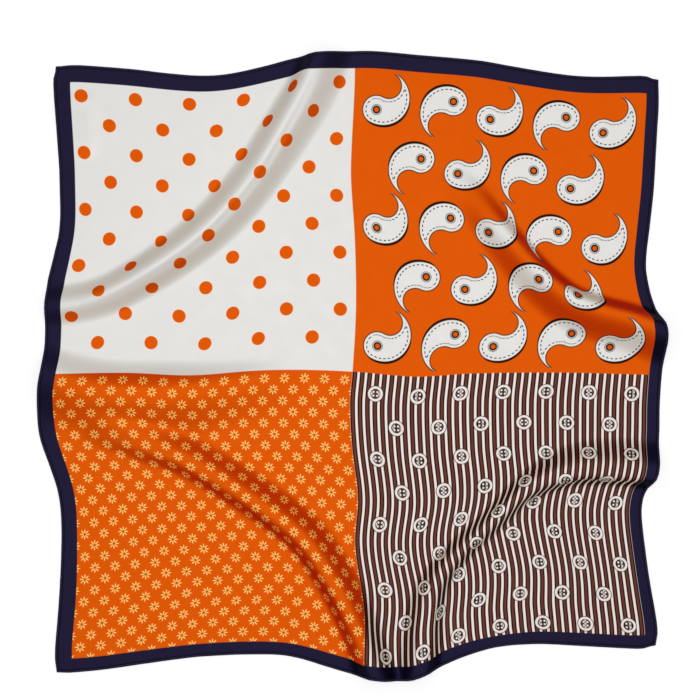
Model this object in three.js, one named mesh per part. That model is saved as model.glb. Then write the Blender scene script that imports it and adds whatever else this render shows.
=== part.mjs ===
// Silk square scarf, laid on a flat surface with soft diagonal folds.
// Millimetres, +Z up. The cloth rests on z = 0 and the origin is the middle of its plan outline.
// Top of the scarf is +Y and its right-hand side is +X, seen from above.
import * as THREE from 'three';
import { mergeVertices } from 'three/addons/utils/BufferGeometryUtils.js';

// Driving sizes
const CLOTH_WALL = 1.0;
const HEM_WIDTH = 3.0;
const HEM_HEIGHT = 2.4;
const HEM_FACETS = 8;
const SEAM_GAP = 0.3;
const LABEL = { width: 30, length: 46, thickness: 1.0, fromLeftHem: 2, fromTop: 44 };
const LABEL_MARGIN = 5;
const LABEL_RAMP = 14;

// Mesh fineness
const GRID = 256;
const SURFACE_ERROR = 1.25;
const LABEL_FINENESS = 8;
const SAMPLES_PER_ROW = 8;
const STEEPEST = 3;

// Corners of the laid scarf. The folds pull them in from the cut square.
const CORNERS = {
  topLeft: { x: -330.5, y: 333.7 },
  topRight: { x: 341.5, y: 318.8 },
  bottomRight: { x: 338.3, y: -312 },
  bottomLeft: { x: -329.5, y: -342 },
};

// How far each side stands out from the straight line between its corners.
// along is measured from the side's first corner, out is positive away from the scarf.
const SIDES = {
  top: {
    from: 'topLeft', to: 'topRight', outward: 1,
    rows: [
      { along: 0, out: 0 }, { along: 2, out: 0 }, { along: 4, out: 0 },
      { along: 7, out: 0.5 }, { along: 12, out: 1.3 }, { along: 18, out: 1.8 },
      { along: 30, out: 1.9 }, { along: 86, out: -1.2 }, { along: 120, out: -4.4 },
      { along: 153, out: -6.6 }, { along: 180, out: -5.8 }, { along: 203, out: -2 },
      { along: 236, out: 6.4 }, { along: 268, out: 15.5 }, { along: 302, out: 20.8 },
      { along: 347, out: 25 }, { along: 402, out: 21.8 }, { along: 470, out: 17.2 },
      { along: 505, out: 12 }, { along: 537, out: 7.2 }, { along: 565, out: 3.6 },
      { along: 588, out: 2 }, { along: 615, out: 2.2 }, { along: 640, out: 3.5 },
      { along: 655, out: 4 }, { along: 660, out: 3.2 }, { along: 665, out: 1.2 },
      { along: 668, out: 0 }, { along: 670, out: 0 }, { along: 672, out: 0 },
    ],
  },
  right: {
    from: 'bottomRight', to: 'topRight', outward: -1,
    rows: [
      { along: 0, out: 0 }, { along: 2, out: 0 }, { along: 4, out: 0 },
      { along: 7, out: 1.4 }, { along: 12, out: 2.1 }, { along: 17, out: 2.2 },
      { along: 28, out: 1 }, { along: 39, out: -0.8 }, { along: 73, out: -7 },
      { along: 106, out: -11.8 }, { along: 146, out: -16.3 }, { along: 164, out: -14.6 },
      { along: 173, out: -11 }, { along: 180, out: -6.5 }, { along: 188, out: -1.5 },
      { along: 200, out: 0.8 }, { along: 211, out: 1.6 }, { along: 240, out: 3 },
      { along: 266, out: 3.2 }, { along: 295, out: 4.8 }, { along: 324, out: 7.6 },
      { along: 344, out: 8.8 }, { along: 357, out: 7.4 }, { along: 365, out: 4 },
      { along: 374, out: -0.8 }, { along: 390, out: -6.8 }, { along: 405, out: -10.4 },
      { along: 421, out: -12.8 }, { along: 440, out: -12 }, { along: 457, out: -10 },
      { along: 480, out: -7.4 }, { along: 508, out: -4.6 }, { along: 540, out: -2.8 },
      { along: 576, out: -1 }, { along: 600, out: 0.4 }, { along: 618, out: 0.3 },
      { along: 625, out: 0 }, { along: 627, out: 0 }, { along: 629, out: 0 },
      { along: 631, out: 0 },
    ],
  },
  bottom: {
    from: 'bottomLeft', to: 'bottomRight', outward: -1,
    rows: [
      { along: 0, out: 0 }, { along: 2, out: 0 }, { along: 4, out: 0 },
      { along: 7, out: 0.6 }, { along: 12, out: 1 }, { along: 17, out: 1.1 },
      { along: 51, out: -0.6 }, { along: 101, out: -5.4 }, { along: 151, out: -9.8 },
      { along: 180, out: -10.6 }, { along: 212, out: -10.4 }, { along: 251, out: -8 },
      { along: 275, out: -2.2 }, { along: 301, out: 7.2 }, { along: 335, out: 18.4 },
      { along: 368, out: 24.6 }, { along: 385, out: 26 }, { along: 402, out: 22.6 },
      { along: 435, out: 10 }, { along: 450, out: 4.4 }, { along: 468, out: -1 },
      { along: 485, out: -5 }, { along: 502, out: -7 }, { along: 520, out: -7.6 },
      { along: 542, out: -7.2 }, { along: 586, out: -3 }, { along: 620, out: 0.4 },
      { along: 640, out: 2.3 }, { along: 651, out: 3 }, { along: 657, out: 2.5 },
      { along: 661, out: 1.2 }, { along: 664, out: 0 }, { along: 666, out: 0 },
      { along: 668, out: 0 },
    ],
  },
  left: {
    from: 'bottomLeft', to: 'topLeft', outward: 1,
    rows: [
      { along: 0, out: 0 }, { along: 2, out: 0 }, { along: 4, out: 0 },
      { along: 7, out: 1 }, { along: 12, out: 1.7 }, { along: 17, out: 2 },
      { along: 30, out: 1.6 }, { along: 70, out: -1.8 }, { along: 105, out: -4 },
      { along: 140, out: -5.4 }, { along: 165, out: -5.4 }, { along: 187, out: -4 },
      { along: 204, out: -1 }, { along: 220, out: 4 }, { along: 237, out: 10 },
      { along: 250, out: 14.8 }, { along: 262, out: 18.4 }, { along: 275, out: 20.6 },
      { along: 287, out: 21.2 }, { along: 305, out: 20.8 }, { along: 321, out: 19 },
      { along: 340, out: 15.2 }, { along: 360, out: 13.2 }, { along: 390, out: 12.2 },
      { along: 421, out: 11 }, { along: 438, out: 9.2 }, { along: 454, out: 5.2 },
      { along: 470, out: 1.4 }, { along: 488, out: -2.8 }, { along: 510, out: -4.6 },
      { along: 535, out: -4.2 }, { along: 560, out: -3.6 }, { along: 590, out: -1.8 },
      { along: 620, out: 0.4 }, { along: 650, out: 2.6 }, { along: 660, out: 2.8 },
      { along: 666, out: 2.1 }, { along: 669, out: 0.8 }, { along: 672, out: 0 },
      { along: 674, out: 0 }, { along: 676, out: 0 },
    ],
  },
};

// Folds, one row for each point along the crest.
// Going from the first row to the last, the inner flank is on the left and the outer on the right.
// crown is the share of each flank that stays level at the top before it falls away.
const FOLDS = {
  upperLeft: {
    crown: 0.06,
    rows: [
      { x: -27, y: 376, height: 18, inner: 40, outer: 20 },
      { x: -37, y: 350, height: 19, inner: 40, outer: 20 },
      { x: -53, y: 309, height: 20, inner: 40, outer: 23 },
      { x: -80, y: 259, height: 20, inner: 36, outer: 26 },
      { x: -109, y: 212, height: 19, inner: 32, outer: 27 },
      { x: -139, y: 175, height: 20, inner: 31, outer: 27 },
      { x: -176, y: 140, height: 20, inner: 29, outer: 26 },
      { x: -223, y: 107, height: 20, inner: 27, outer: 24 },
      { x: -270, y: 81, height: 17, inner: 25, outer: 23 },
      { x: -305, y: 70, height: 13, inner: 24, outer: 24 },
      { x: -342, y: 66, height: 10, inner: 24, outer: 25 },
      { x: -362, y: 66, height: 10, inner: 24, outer: 25 },
    ],
  },
  middleLeft: {
    crown: 0.05,
    rows: [
      { x: -364, y: -4, height: 12, inner: 34, outer: 48 },
      { x: -342, y: -8, height: 13, inner: 34, outer: 53 },
      { x: -313, y: -18, height: 15, inner: 35, outer: 58 },
      { x: -269, y: -27, height: 16, inner: 36, outer: 62 },
      { x: -213, y: -28, height: 15, inner: 36, outer: 62 },
      { x: -157, y: -24, height: 10, inner: 32, outer: 56 },
      { x: -107, y: -17, height: 5, inner: 28, outer: 48 },
      { x: -57, y: -12, height: 0, inner: 24, outer: 40 },
    ],
  },
  lowerLeft: {
    crown: 0.14,
    rows: [
      { x: -300, y: -70, height: 0, inner: 24, outer: 22 },
      { x: -262, y: -78, height: 6, inner: 26, outer: 22 },
      { x: -224, y: -91, height: 10, inner: 30, outer: 22 },
      { x: -184, y: -107, height: 13, inner: 32, outer: 20 },
      { x: -120, y: -145, height: 17, inner: 33, outer: 20 },
      { x: -59, y: -189, height: 19, inner: 32, outer: 21 },
      { x: -25, y: -237, height: 20, inner: 32, outer: 20 },
      { x: -6, y: -272, height: 20, inner: 30, outer: 20 },
      { x: 10, y: -306, height: 18, inner: 28, outer: 22 },
      { x: 28, y: -350, height: 17, inner: 28, outer: 26 },
      { x: 38, y: -374, height: 17, inner: 28, outer: 26 },
    ],
  },
  lowerRight: {
    crown: 0.2,
    rows: [
      { x: 71, y: -378, height: 13, inner: 26, outer: 24 },
      { x: 74, y: -352, height: 14, inner: 28, outer: 24 },
      { x: 79, y: -317, height: 14, inner: 28, outer: 23 },
      { x: 84, y: -272, height: 13.5, inner: 26, outer: 20 },
      { x: 92, y: -244, height: 13, inner: 21, outer: 18 },
      { x: 106, y: -222, height: 12.5, inner: 18, outer: 16 },
      { x: 125, y: -201, height: 12.5, inner: 16, outer: 15 },
      { x: 144, y: -184, height: 12.5, inner: 16, outer: 15 },
      { x: 163, y: -166, height: 12.5, inner: 16, outer: 15 },
      { x: 187, y: -143, height: 13.5, inner: 18, outer: 16 },
      { x: 216, y: -127, height: 15, inner: 26, outer: 17 },
      { x: 255, y: -118, height: 16, inner: 37, outer: 17 },
      { x: 300, y: -119, height: 16, inner: 42, outer: 17 },
      { x: 333, y: -122, height: 16.5, inner: 42, outer: 17 },
      { x: 362, y: -123, height: 17, inner: 42, outer: 17 },
    ],
  },
  upperRight: {
    crown: 0.08,
    rows: [
      { x: 372, y: 34, height: 22, inner: 46, outer: 16 },
      { x: 347, y: 42, height: 22, inner: 46, outer: 16 },
      { x: 311, y: 55, height: 22, inner: 44, outer: 16 },
      { x: 277, y: 64, height: 21, inner: 42, outer: 16 },
      { x: 246, y: 76, height: 20, inner: 40, outer: 16 },
      { x: 219, y: 96, height: 18, inner: 38, outer: 16 },
      { x: 195, y: 120, height: 16, inner: 36, outer: 16 },
      { x: 173, y: 145, height: 13, inner: 34, outer: 17 },
      { x: 153, y: 169, height: 9, inner: 32, outer: 18 },
      { x: 132, y: 192, height: 4, inner: 30, outer: 20 },
      { x: 99, y: 216, height: 0, inner: 28, outer: 22 },
    ],
  },
};

const COLOURS = { cloth: 0xe45c08, hem: 0x1e1b30, label: 0xece8e0 };

// Small helpers
const mix = (a, b, t) => a + (b - a) * t;
const clamp = (value, low, high) => Math.min(high, Math.max(low, value));
const fallOff = (t) => 0.5 * (1 + Math.cos(Math.PI * clamp(t, 0, 1)));

// A smooth curve through rows, with the slope of the neighbours at each row
function cubic(p0, p1, slope0, slope1, span, t) {
  const t2 = t * t;
  const t3 = t2 * t;
  return p0 * (2 * t3 - 3 * t2 + 1) + slope0 * span * (t3 - 2 * t2 + t)
    + p1 * (3 * t2 - 2 * t3) + slope1 * span * (t3 - t2);
}

function bulgeAt(rows, along) {
  const last = rows.length - 1;
  const slopeAt = (i) => (i === 0 || i === last ? 0
    : (rows[i + 1].out - rows[i - 1].out) / (rows[i + 1].along - rows[i - 1].along));
  let i = 0;
  while (i < last - 1 && rows[i + 1].along < along) i += 1;
  const span = rows[i + 1].along - rows[i].along;
  const t = clamp((along - rows[i].along) / span, 0, 1);
  return cubic(rows[i].out, rows[i + 1].out, slopeAt(i), slopeAt(i + 1), span, t);
}

// A point on a side of the laid scarf, at a share of its length, moved in from the outline.
// Near its corners the moved curve is shortened by the same amount, so that sides meet on a mitre.
function edgePoint(side, share, inset) {
  const start = CORNERS[side.from];
  const end = CORNERS[side.to];
  const chord = Math.hypot(end.x - start.x, end.y - start.y);
  const length = side.rows[side.rows.length - 1].along;
  const ahead = { x: (end.x - start.x) / chord, y: (end.y - start.y) / chord };
  const out = { x: -ahead.y * side.outward, y: ahead.x * side.outward };
  const shifted = share + (inset / chord) * (1 - 2 * share);
  const bulge = bulgeAt(side.rows, shifted * length);
  const step = 0.5;
  const slope = (bulgeAt(side.rows, shifted * length + step) - bulgeAt(side.rows, shifted * length - step))
    / (2 * step);
  const tilt = Math.hypot(1, slope);
  const across = bulge - inset / tilt;
  const forward = shifted * chord + (inset * slope) / tilt;
  return {
    x: start.x + ahead.x * forward + out.x * across,
    y: start.y + ahead.y * forward + out.y * across,
  };
}

// Points along a fold's crest, smooth through its rows
function crestSamples(rows) {
  const at = (i) => rows[clamp(i, 0, rows.length - 1)];
  const names = ['x', 'y', 'height', 'inner', 'outer'];
  const samples = [];
  for (let i = 0; i < rows.length - 1; i += 1) {
    for (let k = 0; k < SAMPLES_PER_ROW; k += 1) {
      const sample = {};
      for (const name of names) {
        const slope0 = (at(i + 1)[name] - at(i - 1)[name]) / 2;
        const slope1 = (at(i + 2)[name] - at(i)[name]) / 2;
        sample[name] = cubic(at(i)[name], at(i + 1)[name], slope0, slope1, 1, k / SAMPLES_PER_ROW);
      }
      samples.push(sample);
    }
  }
  samples.push(rows[rows.length - 1]);
  return samples;
}

const CRESTS = Object.values(FOLDS).map((fold) => ({ crown: fold.crown, samples: crestSamples(fold.rows) }));

// Height that one fold adds at a place in plan
function foldHeight(crest, x, y) {
  const { samples, crown } = crest;
  let nearest = Infinity;
  let found = null;
  for (let i = 0; i < samples.length - 1; i += 1) {
    const a = samples[i];
    const b = samples[i + 1];
    const dx = b.x - a.x;
    const dy = b.y - a.y;
    const t = clamp(((x - a.x) * dx + (y - a.y) * dy) / (dx * dx + dy * dy), 0, 1);
    const offX = x - (a.x + dx * t);
    const offY = y - (a.y + dy * t);
    const square = offX * offX + offY * offY;
    if (square < nearest) {
      nearest = square;
      found = { a, b, t, leftward: dx * offY - dy * offX };
    }
  }
  const { a, b, t, leftward } = found;
  const side = leftward > 0 ? 'inner' : 'outer';
  const share = Math.sqrt(nearest) / mix(a[side], b[side], t);
  return share >= 1 ? 0 : mix(a.height, b.height, t) * fallOff((share - crown) / (1 - crown));
}

// The label lies flat under the cloth beside the left hem, near the top
function labelPlace() {
  const share = 1 - LABEL.fromTop / CORNERS.topLeft.y;
  const seam = edgePoint(SIDES.left, mix(0.5, 1, share), HEM_WIDTH + LABEL.fromLeftHem);
  const top = CORNERS.topLeft.y - LABEL.fromTop;
  return {
    left: seam.x,
    right: seam.x + LABEL.width,
    top,
    bottom: top - LABEL.length,
  };
}

const PLACE = labelPlace();

function labelLift(x, y) {
  const beyondX = Math.max(PLACE.left - x, x - PLACE.right, 0);
  const beyondY = Math.max(PLACE.bottom - y, y - PLACE.top, 0);
  const beyond = Math.hypot(beyondX, beyondY) - LABEL_MARGIN;
  return (LABEL.thickness + SEAM_GAP) * fallOff(beyond / LABEL_RAMP);
}

// Underside of the cloth above the surface it lies on
function clothHeight(x, y) {
  let height = labelLift(x, y);
  for (const crest of CRESTS) height += foldHeight(crest, x, y);
  return height;
}

// The cloth's edge is the outline moved in by the rolled hem and the seam gap
function clothPlan(u, v) {
  const inset = HEM_WIDTH + SEAM_GAP;
  const low = edgePoint(SIDES.bottom, u, inset);
  const high = edgePoint(SIDES.top, u, inset);
  const west = edgePoint(SIDES.left, v, inset);
  const east = edgePoint(SIDES.right, v, inset);
  const corner = (across, up) => {
    const a = edgePoint(up ? SIDES.top : SIDES.bottom, across, inset);
    const b = edgePoint(across ? SIDES.right : SIDES.left, up, inset);
    return { x: (a.x + b.x) / 2, y: (a.y + b.y) / 2 };
  };
  const [sw, se, nw, ne] = [corner(0, 0), corner(1, 0), corner(0, 1), corner(1, 1)];
  const blend = (axis) => mix(low[axis], high[axis], v) + mix(west[axis], east[axis], u)
    - mix(mix(sw[axis], se[axis], u), mix(nw[axis], ne[axis], u), v);
  return { x: blend('x'), y: blend('y') };
}

// Fine grid of points on the underside, from which the mesh keeps only those it needs
function fineGrid() {
  const points = [];
  for (let j = 0; j <= GRID; j += 1) {
    for (let i = 0; i <= GRID; i += 1) {
      const plan = clothPlan(i / GRID, j / GRID);
      points.push(new THREE.Vector3(plan.x, plan.y, clothHeight(plan.x, plan.y)));
    }
  }
  return points;
}

const index = (i, j) => j * (GRID + 1) + i;

// Upright thickness that keeps the wall's own thickness on a slope
function uprightShare(points, i, j) {
  const east = points[index(Math.min(i + 1, GRID), j)];
  const west = points[index(Math.max(i - 1, 0), j)];
  const north = points[index(i, Math.min(j + 1, GRID))];
  const south = points[index(i, Math.max(j - 1, 0))];
  const normal = east.clone().sub(west).cross(north.clone().sub(south)).normalize();
  return Math.min(STEEPEST, 1 / normal.z);
}

// Right-angled triangles split in two, level by level. Each is [a, b, c] with its right angle at c.
function triangleLevels() {
  const corner = [[0, 0], [GRID, 0], [GRID, GRID], [0, GRID]];
  let level = [[corner[0], corner[2], corner[3]], [corner[2], corner[0], corner[1]]];
  const levels = [level];
  for (let depth = 0; depth < 2 * Math.log2(GRID); depth += 1) {
    level = level.flatMap(([a, b, c]) => {
      const middle = [(a[0] + b[0]) / 2, (a[1] + b[1]) / 2];
      return [[c, a, middle], [b, c, middle]];
    });
    levels.push(level);
  }
  return levels;
}

// How far the surface leaves a straight edge at its middle, with the finer levels' errors carried up
function splitErrors(points, levels) {
  const errors = new Float32Array((GRID + 1) * (GRID + 1));
  const middleOf = (a, b) => index((a[0] + b[0]) / 2, (a[1] + b[1]) / 2);
  for (let depth = levels.length - 2; depth >= 0; depth -= 1) {
    for (const [a, b, c] of levels[depth]) {
      const middle = middleOf(a, b);
      const chord = points[index(...a)].clone().lerp(points[index(...b)], 0.5);
      const overLabel = labelLift(points[middle].x, points[middle].y) > 0;
      const own = chord.distanceTo(points[middle]) * (overLabel ? LABEL_FINENESS : 1);
      const finer = depth < levels.length - 2 ? Math.max(errors[middleOf(c, a)], errors[middleOf(b, c)]) : 0;
      errors[middle] = Math.max(errors[middle], own, finer);
    }
  }
  return errors;
}

function keptTriangles(levels, errors) {
  const kept = [];
  const visit = (a, b, c, depth) => {
    const middle = [(a[0] + b[0]) / 2, (a[1] + b[1]) / 2];
    if (depth < levels.length - 1 && errors[index(...middle)] > SURFACE_ERROR) {
      visit(c, a, middle, depth + 1);
      visit(b, c, middle, depth + 1);
    } else {
      kept.push([a, b, c]);
    }
  };
  for (const [a, b, c] of levels[0]) visit(a, b, c, 0);
  return kept;
}

function closedGeometry(positions, faces) {
  const geometry = new THREE.BufferGeometry();
  geometry.setAttribute('position', new THREE.Float32BufferAttribute(positions, 3));
  geometry.setIndex(faces);
  const merged = mergeVertices(geometry);
  merged.computeVertexNormals();
  return merged;
}

// Wall of cloth: the kept triangles below, their copies above, and a strip round the edge
function clothWall(points, triangles) {
  const slots = new Map();
  const positions = [];
  const slotOf = ([i, j]) => {
    const key = index(i, j);
    if (!slots.has(key)) {
      const point = points[key];
      slots.set(key, positions.length / 3);
      positions.push(point.x, point.y, point.z);
      positions.push(point.x, point.y, point.z + CLOTH_WALL * uprightShare(points, i, j));
    }
    return slots.get(key);
  };
  const faces = [];
  const open = new Map();
  for (const corners of triangles) {
    const [a, b, c] = corners.map(slotOf);
    faces.push(a + 1, b + 1, c + 1, a, c, b);
    for (const [from, to] of [[a, b], [b, c], [c, a]]) {
      if (!open.delete(`${to}-${from}`)) open.set(`${from}-${to}`, [from, to]);
    }
  }
  for (const [from, to] of open.values()) {
    faces.push(from, to, to + 1, from, to + 1, from + 1);
  }
  return closedGeometry(positions, faces);
}

// Shares along a side at which the cloth's mesh has a point, so that the hem follows the same facets
function edgeShares(triangles, onSide, shareOf) {
  const shares = new Set();
  for (const corners of triangles) {
    for (const corner of corners) {
      if (onSide(corner)) shares.add(shareOf(corner) / GRID);
    }
  }
  return [...shares].sort((a, b) => a - b);
}

// Rolled hem along one side, as rings of an oval section
function hemRoll(side, shares) {
  const positions = [];
  const faces = [];
  const count = shares.length;
  for (const share of shares) {
    const centre = edgePoint(side, share, HEM_WIDTH / 2);
    const near = edgePoint(side, Math.min(share + 1 / GRID, 1), HEM_WIDTH / 2);
    const far = edgePoint(side, Math.max(share - 1 / GRID, 0), HEM_WIDTH / 2);
    const base = clothHeight(centre.x, centre.y);
    const rise = clothHeight(near.x, near.y) - clothHeight(far.x, far.y);
    const run = Math.hypot(near.x - far.x, near.y - far.y);
    const upright = Math.min(STEEPEST, Math.hypot(run, rise) / run);
    for (let k = 0; k < HEM_FACETS; k += 1) {
      const angle = ((k + 0.5) / HEM_FACETS) * 2 * Math.PI;
      const reach = Math.cos(Math.PI / HEM_FACETS);
      const point = edgePoint(side, share, (HEM_WIDTH / 2) * (1 - Math.cos(angle) / reach));
      const lift = (HEM_HEIGHT / 2) * (1 + Math.sin(angle) / reach) * upright;
      positions.push(point.x, point.y, base + lift);
    }
  }
  const turn = side.outward > 0 ? (a, b, c) => faces.push(a, b, c) : (a, b, c) => faces.push(a, c, b);
  for (let ring = 0; ring < count - 1; ring += 1) {
    for (let k = 0; k < HEM_FACETS; k += 1) {
      const a = ring * HEM_FACETS + k;
      const b = ring * HEM_FACETS + ((k + 1) % HEM_FACETS);
      turn(a, b, b + HEM_FACETS);
      turn(a, b + HEM_FACETS, a + HEM_FACETS);
    }
  }
  const end = (count - 1) * HEM_FACETS;
  for (let k = 1; k < HEM_FACETS - 1; k += 1) {
    turn(0, k + 1, k);
    turn(end, end + k, end + k + 1);
  }
  return closedGeometry(positions, faces);
}

// The side hems stop short of the mitre by the seam gap
function shortened(side, shares) {
  const back = (SEAM_GAP * Math.SQRT2) / side.rows[side.rows.length - 1].along;
  return shares.map((share) => mix(back, 1 - back, share));
}

function labelSolid() {
  const geometry = new THREE.BoxGeometry(LABEL.width, LABEL.length, LABEL.thickness);
  geometry.translate((PLACE.left + PLACE.right) / 2, (PLACE.top + PLACE.bottom) / 2, LABEL.thickness / 2);
  return geometry;
}

function meshOf(name, geometry, colour, roughness) {
  const material = new THREE.MeshStandardMaterial({ color: colour, roughness, metalness: 0 });
  const mesh = new THREE.Mesh(geometry, material);
  mesh.name = name;
  return mesh;
}

// Moves every piece so that the plan outline is centred on the origin
function centre(group) {
  const box = new THREE.Box3().setFromObject(group);
  const shift = box.getCenter(new THREE.Vector3());
  for (const mesh of group.children) mesh.geometry.translate(-shift.x, -shift.y, -box.min.z);
}

function buildScarf() {
  const points = fineGrid();
  const levels = triangleLevels();
  const triangles = keptTriangles(levels, splitErrors(points, levels));
  const shares = {
    top: edgeShares(triangles, ([, j]) => j === GRID, ([i]) => i),
    bottom: edgeShares(triangles, ([, j]) => j === 0, ([i]) => i),
    left: shortened(SIDES.left, edgeShares(triangles, ([i]) => i === 0, ([, j]) => j)),
    right: shortened(SIDES.right, edgeShares(triangles, ([i]) => i === GRID, ([, j]) => j)),
  };
  const scarf = new THREE.Group();
  scarf.add(meshOf('panel', clothWall(points, triangles), COLOURS.cloth, 0.45));
  for (const [name, side] of Object.entries(SIDES)) {
    scarf.add(meshOf(`hem_${name}`, hemRoll(side, shares[name]), COLOURS.hem, 0.5));
  }
  scarf.add(meshOf('care_label', labelSolid(), COLOURS.label, 0.6));
  centre(scarf);
  return scarf;
}

export default buildScarf();
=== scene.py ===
# %% [markdown]
# # A silk square scarf, laid flat
#
# The scarf is one square of printed silk twill with rolled hems. It lies face up on a pale
# surface, and pushing it about has left four soft diagonal folds and one low one. The lesson
# builds it the way the real one comes about: a flat square of cloth whose threads keep their
# length while the folds lift it, then the print, then the hems that finish its edge.
#
# The first cell loads the packed solids. They fix the size and place of every piece here.

# %% Load the frame
import math
from collections import namedtuple

import bpy
import numpy as np
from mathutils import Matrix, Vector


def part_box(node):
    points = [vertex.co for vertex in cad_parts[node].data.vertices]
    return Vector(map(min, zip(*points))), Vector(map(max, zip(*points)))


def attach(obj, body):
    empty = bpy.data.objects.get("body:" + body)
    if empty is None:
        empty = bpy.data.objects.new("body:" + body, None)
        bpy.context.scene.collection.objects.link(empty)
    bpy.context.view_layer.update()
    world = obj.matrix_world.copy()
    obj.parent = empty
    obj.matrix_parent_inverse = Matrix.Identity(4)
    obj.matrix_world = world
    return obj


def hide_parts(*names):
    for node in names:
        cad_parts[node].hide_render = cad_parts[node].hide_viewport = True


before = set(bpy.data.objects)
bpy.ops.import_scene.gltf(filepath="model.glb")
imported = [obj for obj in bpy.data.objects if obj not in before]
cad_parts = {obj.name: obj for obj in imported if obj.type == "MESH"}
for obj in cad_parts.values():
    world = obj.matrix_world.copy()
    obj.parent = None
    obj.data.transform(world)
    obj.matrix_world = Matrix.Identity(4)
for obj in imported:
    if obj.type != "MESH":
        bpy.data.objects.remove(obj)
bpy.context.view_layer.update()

MM = 0.001
print("solids:", ", ".join(sorted(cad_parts)))

# %% [markdown]
# ## The camera
#
# The scarf was photographed from straight above, so the camera looks down its own -Z axis and
# needs no rotation at all. A long lens from nearly two metres keeps the square's sides parallel.
# The distance follows from the width that the picture has to cover.

# %% Camera straight above
PICTURE_WIDTH = 780.5 * MM
PICTURE_CENTRE = (-1.3 * MM, 17.4 * MM)
LENS = 85.0
SENSOR = 36.0
CAMERA_HEIGHT = PICTURE_WIDTH * LENS / SENSOR


def add_camera():
    bpy.ops.object.camera_add(location=(*PICTURE_CENTRE, CAMERA_HEIGHT), rotation=(0, 0, 0))
    camera = bpy.context.active_object
    camera.data.lens = LENS
    camera.data.sensor_width = SENSOR
    bpy.context.scene.camera = camera
    return camera


camera = add_camera()
print("camera at", [round(c, 3) for c in camera.location], "m, looking straight down")

# %% [markdown]
# ## Sizes and the outline
#
# All the sizes are in millimetres and become metres only when a mesh is written. The cut is a
# 700 mm square. The folds pull its sides in, and each side then waves a little. A short table
# for each side says how far it stands out from the straight line between two corners, and a
# smooth curve through the rows gives every point between them.

# %% Sizes, corners and sides
SQUARE = 700.0
BORDER = {"left": 18.6, "right": 14.4, "top": 19.2, "bottom": 15.6}
# Where the print's four quarters meet, from the lower left corner of the cut.
CROSS = (352.0, 340.5)
HEM_WIDTH = 3.0
# The single layer of silk ends in the middle of the rolled hem.
CLOTH_EDGE = HEM_WIDTH / 2
CORNERS = {
    "top left": (-330.5, 333.7),
    "top right": (341.5, 318.8),
    "bottom right": (338.3, -312),
    "bottom left": (-329.5, -342),
}
Side = namedtuple("Side", "start end outward along out")
SIDES = {
    "top": Side(
        "top left", "top right", 1,
        (0, 2, 4, 7, 12, 18, 30, 86, 120, 153, 180, 203, 236, 268, 302, 347, 402, 470, 505, 537, 565, 588,
         615, 640, 655, 660, 665, 668, 670, 672),
        (0, 0, 0, 0.5, 1.3, 1.8, 1.9, -1.2, -4.4, -6.6, -5.8, -2, 6.4, 15.5, 20.8, 25, 21.8, 17.2, 12, 7.2,
         3.6, 2, 2.2, 3.5, 4, 3.2, 1.2, 0, 0, 0)),
    "right": Side(
        "bottom right", "top right", -1,
        (0, 2, 4, 7, 12, 17, 28, 39, 73, 106, 146, 164, 173, 180, 188, 200, 211, 240, 266, 295, 324, 344,
         357, 365, 374, 390, 405, 421, 440, 457, 480, 508, 540, 576, 600, 618, 625, 627, 629, 631),
        (0, 0, 0, 1.4, 2.1, 2.2, 1, -0.8, -7, -11.8, -16.3, -14.6, -11, -6.5, -1.5, 0.8, 1.6, 3, 3.2, 4.8,
         7.6, 8.8, 7.4, 4, -0.8, -6.8, -10.4, -12.8, -12, -10, -7.4, -4.6, -2.8, -1, 0.4, 0.3, 0, 0, 0, 0)),
    "bottom": Side(
        "bottom left", "bottom right", -1,
        (0, 2, 4, 7, 12, 17, 51, 101, 151, 180, 212, 251, 275, 301, 335, 368, 385, 402, 435, 450, 468, 485,
         502, 520, 542, 586, 620, 640, 651, 657, 661, 664, 666, 668),
        (0, 0, 0, 0.6, 1, 1.1, -0.6, -5.4, -9.8, -10.6, -10.4, -8, -2.2, 7.2, 18.4, 24.6, 26, 22.6, 10,
         4.4, -1, -5, -7, -7.6, -7.2, -3, 0.4, 2.3, 3, 2.5, 1.2, 0, 0, 0)),
    "left": Side(
        "bottom left", "top left", 1,
        (0, 2, 4, 7, 12, 17, 30, 70, 105, 140, 165, 187, 204, 220, 237, 250, 262, 275, 287, 305, 321, 340,
         360, 390, 421, 438, 454, 470, 488, 510, 535, 560, 590, 620, 650, 660, 666, 669, 672, 674, 676),
        (0, 0, 0, 1, 1.7, 2, 1.6, -1.8, -4, -5.4, -5.4, -4, -1, 4, 10, 14.8, 18.4, 20.6, 21.2, 20.8, 19,
         15.2, 13.2, 12.2, 11, 9.2, 5.2, 1.4, -2.8, -4.6, -4.2, -3.6, -1.8, 0.4, 2.6, 2.8, 2.1, 0.8, 0, 0,
         0)),
}


def smooth_through(knots, values, at, level_ends=True):
    """A smooth curve through the rows of a table, with its neighbours' slope at each row."""
    knots = np.asarray(knots, float)
    values = np.asarray(values, float)
    slopes = np.zeros(len(knots))
    slopes[1:-1] = (values[2:] - values[:-2]) / (knots[2:] - knots[:-2])
    if not level_ends:
        slopes[0] = (values[1] - values[0]) / (knots[1] - knots[0]) / 2
        slopes[-1] = (values[-1] - values[-2]) / (knots[-1] - knots[-2]) / 2
    row = np.clip(np.searchsorted(knots, at) - 1, 0, len(knots) - 2)
    span = knots[row + 1] - knots[row]
    t = np.clip((at - knots[row]) / span, 0, 1)
    rise = t * t * (3 - 2 * t)
    return (values[row] * (1 - rise) + values[row + 1] * rise
            + slopes[row] * span * t * (1 - t) ** 2 - slopes[row + 1] * span * t * t * (1 - t))


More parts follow.
